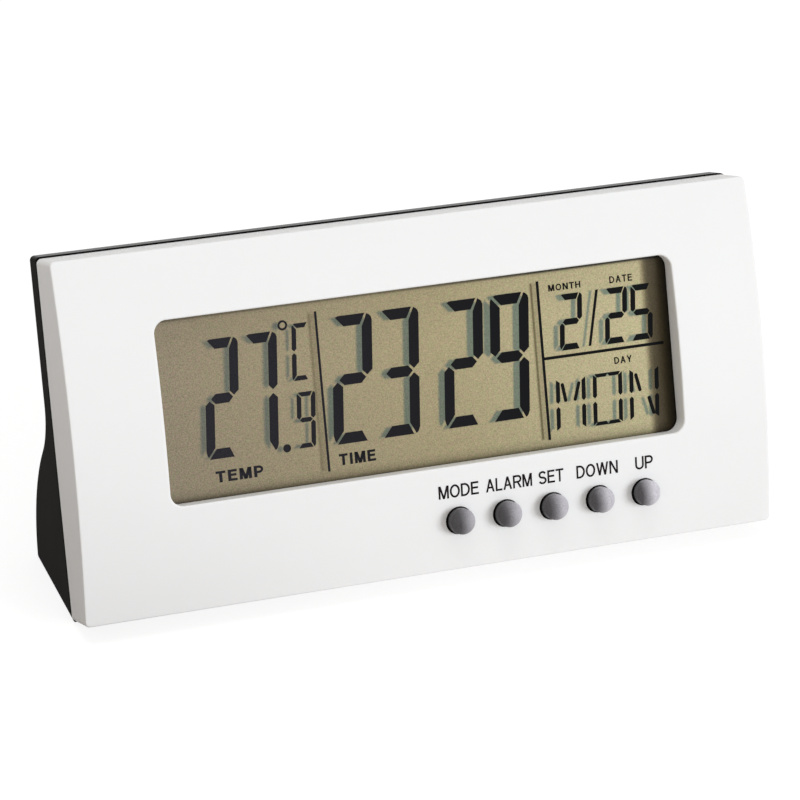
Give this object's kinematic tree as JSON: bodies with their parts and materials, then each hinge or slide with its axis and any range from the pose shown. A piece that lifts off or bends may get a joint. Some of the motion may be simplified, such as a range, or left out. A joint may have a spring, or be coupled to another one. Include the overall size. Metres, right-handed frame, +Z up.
{
  "type": "digital clock",
  "caption": "Digital desk clock: white bowed front frame, reflective liquid-crystal display, round push buttons and a black battery housing that leans it back.",
  "frame": {"origin": "on the table, under the middle of the clock's overall box", "axes": "+X to the viewer's right along the clock's width, +Y from the display towards the back, +Z up; the display faces -Y and leans back 25 degrees"},
  "size_m": [0.145, 0.043, 0.0672],
  "materials": {
    "white_plastic": "satin white ABS",
    "black_plastic": "fine matt black ABS",
    "grey_plastic": "fine matt grey ABS",
    "foam": "black closed-cell foam",
    "polarizer_film": "olive-beige polarising film, satin",
    "display_glass": "thin soda-lime glass",
    "reflector_film": "fine-grained silver-beige film",
    "holder_plastic": "natural ABS",
    "strip_rubber": "striped conductive silicone",
    "board_laminate": "green solder mask on laminate",
    "switch_plastic": "black moulded nylon",
    "plunger_plastic": "black moulded nylon",
    "chip_resin": "black epoxy",
    "bright_metal": "nickel-plated steel",
    "cell_case": "plain metallised jacket",
    "buzzer_brass": "bare brass",
    "buzzer_white": "white fired ceramic",
    "lead_cover": "red and black insulated wire",
    "capacitor_sleeve": "sleeved aluminium can",
    "sensor_resin": "black epoxy",
    "screw_steel": "zinc-plated steel"
  },
  "bodies": {
    "clock_case": {"front_frame": "white_plastic", "display_gasket": "foam", "front_polarizer": "polarizer_film", "display_front_glass": "display_glass", "display_rear_glass": "display_glass", "display_reflector": "reflector_film", "display_holder": "holder_plastic", "upper_connector_strip": "strip_rubber", "lower_connector_strip": "strip_rubber", "main_board": "board_laminate", "tact_switches": "switch_plastic", "rear_housing": "black_plastic", "lower_battery": "cell_case", "upper_battery": "cell_case", "positive_contact": "bright_metal", "negative_contact": "bright_metal", "bridge_contact": "bright_metal", "battery_leads": "lead_cover", "buzzer_disc": "buzzer_brass", "buzzer_ceramic": "buzzer_white", "buzzer_leads": "lead_cover", "controller_chip": "chip_resin", "quartz_crystal": "bright_metal", "power_capacitor": "capacitor_sleeve", "temperature_sensor": "sensor_resin", "housing_screws": "screw_steel", "board_screws": "screw_steel"},
    "battery_door": {"battery_cover": "black_plastic"},
    "mode_key": {"mode_button": "grey_plastic", "mode_plunger": "plunger_plastic"},
    "alarm_key": {"alarm_button": "grey_plastic", "alarm_plunger": "plunger_plastic"},
    "set_key": {"set_button": "grey_plastic", "set_plunger": "plunger_plastic"},
    "down_key": {"down_button": "grey_plastic", "down_plunger": "plunger_plastic"},
    "up_key": {"up_button": "grey_plastic", "up_plunger": "plunger_plastic"}
  },
  "joints": [
    {"name": "mode_press", "type": "slide", "parent": "clock_case", "child": "mode_key", "axis": [0, 0.9063, -0.4226], "range_m": [0, 0.0005], "stiffness_N_per_m": 1000, "springref_m": -0.0008},
    {"name": "alarm_press", "type": "slide", "parent": "clock_case", "child": "alarm_key", "axis": [0, 0.9063, -0.4226], "range_m": [0, 0.0005], "stiffness_N_per_m": 1000, "springref_m": -0.0008},
    {"name": "set_press", "type": "slide", "parent": "clock_case", "child": "set_key", "axis": [0, 0.9063, -0.4226], "range_m": [0, 0.0005], "stiffness_N_per_m": 1000, "springref_m": -0.0008},
    {"name": "down_press", "type": "slide", "parent": "clock_case", "child": "down_key", "axis": [0, 0.9063, -0.4226], "range_m": [0, 0.0005], "stiffness_N_per_m": 1000, "springref_m": -0.0008},
    {"name": "up_press", "type": "slide", "parent": "clock_case", "child": "up_key", "axis": [0, 0.9063, -0.4226], "range_m": [0, 0.0005], "stiffness_N_per_m": 1000, "springref_m": -0.0008},
    {"name": "battery_door_lift", "type": "slide", "parent": "clock_case", "child": "battery_door", "axis": [0, 0.991, 0.1339], "range_m": [0, 0.015]}
  ]
}
